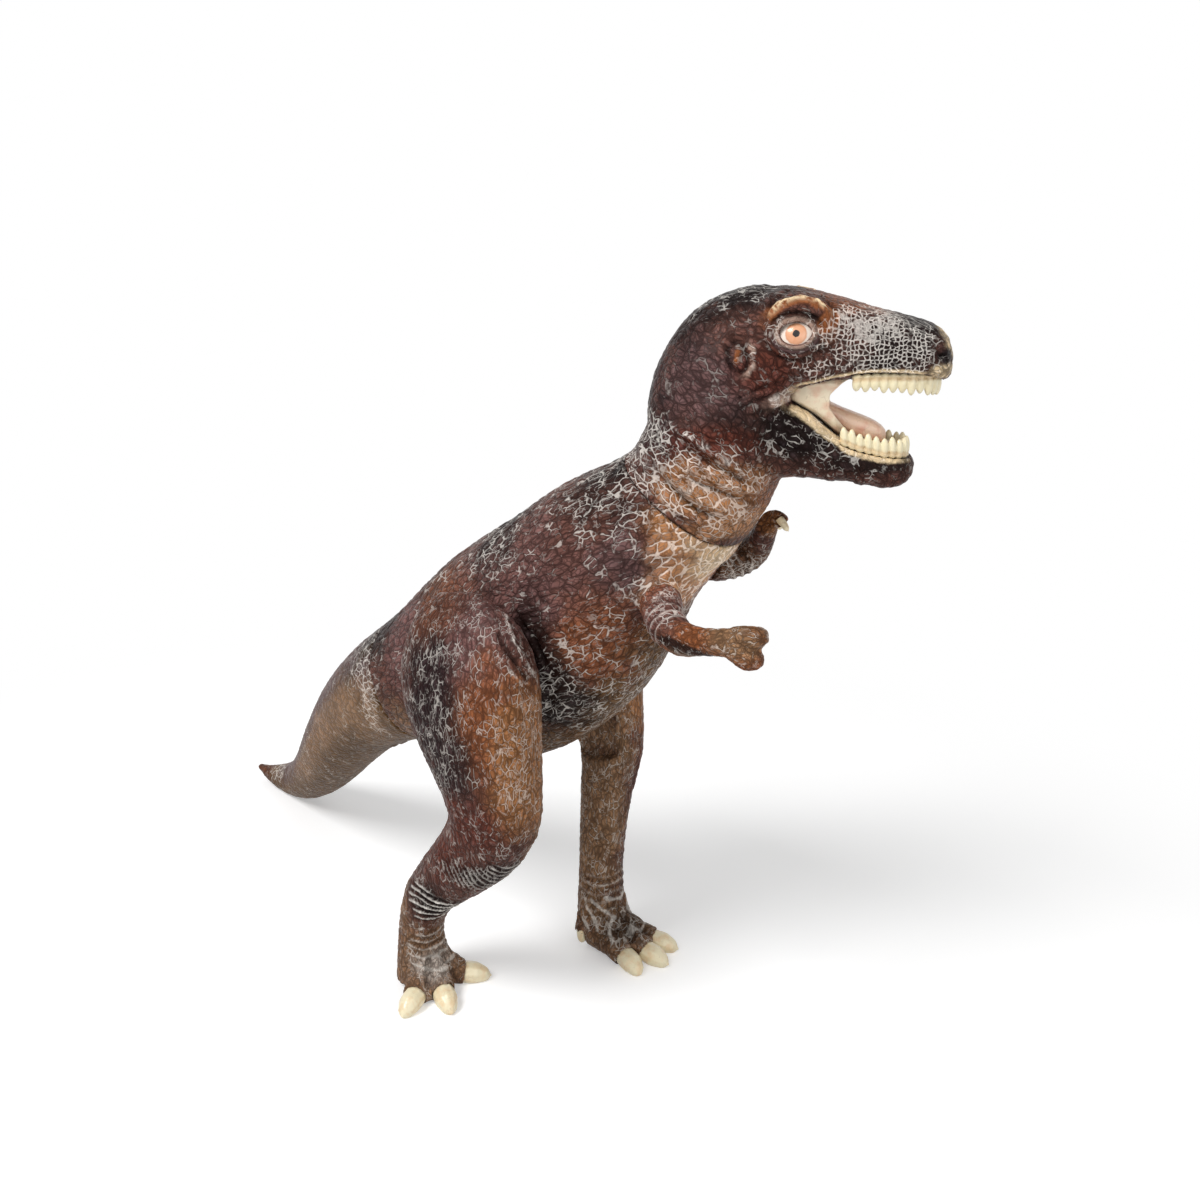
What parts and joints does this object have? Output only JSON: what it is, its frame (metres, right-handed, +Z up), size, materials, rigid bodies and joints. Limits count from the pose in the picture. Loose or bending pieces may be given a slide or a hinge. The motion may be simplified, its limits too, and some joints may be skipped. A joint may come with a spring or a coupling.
{
  "type": "toy dinosaur figure",
  "caption": "Standing theropod dinosaur toy in brown painted soft vinyl, mouth open, with swivelling head, tail, arms and legs.",
  "frame": {"origin": "centre of the bounding box in plan, at the floor under the feet", "axes": "+X forward along the pelvis, +Y the animal's left, +Z up"},
  "size_m": [0.435, 0.1428, 0.3241],
  "materials": {
    "painted_vinyl_brown": "dark brown skin paint with a pale crackle wash",
    "painted_vinyl_tail": "brown to ochre skin paint",
    "painted_vinyl_head": "dark brown skin paint with a pale scale net",
    "painted_vinyl_right_leg": "red-brown skin paint",
    "painted_vinyl_left_leg": "olive brown skin paint",
    "painted_vinyl_right_arm": "red-brown skin paint",
    "painted_vinyl_left_arm": "dark brown skin paint",
    "mouth_cream": "pinkish cream paint",
    "tongue_pink": "pinkish cream paint",
    "tooth_ivory": "ivory paint",
    "eye_gloss_right": "gloss paint: white, orange iris, black pupil",
    "claw_ivory_right_foot": "ivory paint",
    "claw_ivory_right_hand": "ivory paint",
    "eye_gloss_left": "gloss paint: white, orange iris, black pupil",
    "claw_ivory_left_foot": "ivory paint",
    "claw_ivory_left_hand": "ivory paint"
  },
  "bodies": {
    "torso": {"torso_shell": "painted_vinyl_brown"},
    "tail": {"tail_shell": "painted_vinyl_tail"},
    "head": {"head_shell": "painted_vinyl_head", "right_eye": "eye_gloss_right", "left_eye": "eye_gloss_left", "mouth_lining": "mouth_cream", "tongue": "tongue_pink", "upper_teeth": "tooth_ivory", "lower_teeth": "tooth_ivory"},
    "right_leg": {"right_leg_shell": "painted_vinyl_right_leg", "right_outer_toe_claw": "claw_ivory_right_foot", "right_middle_toe_claw": "claw_ivory_right_foot", "right_inner_toe_claw": "claw_ivory_right_foot", "right_spur_claw": "claw_ivory_right_foot"},
    "left_leg": {"left_leg_shell": "painted_vinyl_left_leg", "left_outer_toe_claw": "claw_ivory_left_foot", "left_middle_toe_claw": "claw_ivory_left_foot", "left_inner_toe_claw": "claw_ivory_left_foot", "left_spur_claw": "claw_ivory_left_foot"},
    "right_arm": {"right_arm_shell": "painted_vinyl_right_arm", "right_upper_finger_claw": "claw_ivory_right_hand", "right_lower_finger_claw": "claw_ivory_right_hand"},
    "left_arm": {"left_arm_shell": "painted_vinyl_left_arm", "left_upper_finger_claw": "claw_ivory_left_hand", "left_lower_finger_claw": "claw_ivory_left_hand"}
  },
  "joints": [
    {"name": "neck_swivel", "type": "hinge", "parent": "torso", "child": "head", "pos_m": [0.12749, 0.01086, 0.2398], "axis": [0.5703, 0.1422, 0.809], "range_deg": [-40, 40]},
    {"name": "tail_swivel", "type": "hinge", "parent": "torso", "child": "tail", "pos_m": [-0.01401, 0.00236, 0.1343], "axis": [-0.9053, 0.09, -0.4151], "range_deg": [-40, 40]},
    {"name": "right_hip", "type": "hinge", "parent": "torso", "child": "right_leg", "pos_m": [0.05599, -0.03534, 0.1638], "axis": [0, 1, 0], "range_deg": [-30, 35]},
    {"name": "left_hip", "type": "hinge", "parent": "torso", "child": "left_leg", "pos_m": [0.05599, 0.03906, 0.1638], "axis": [0, 1, 0], "range_deg": [-30, 35]},
    {"name": "right_shoulder", "type": "hinge", "parent": "torso", "child": "right_arm", "pos_m": [0.135, -0.0177, 0.2048], "axis": [0.6887, -0.6798, -0.2519], "range_deg": [-50, 60]},
    {"name": "left_shoulder", "type": "hinge", "parent": "torso", "child": "left_arm", "pos_m": [0.12049, 0.04051, 0.2048], "axis": [0.289, 0.9236, -0.2519], "range_deg": [-40, 60]}
  ]
}
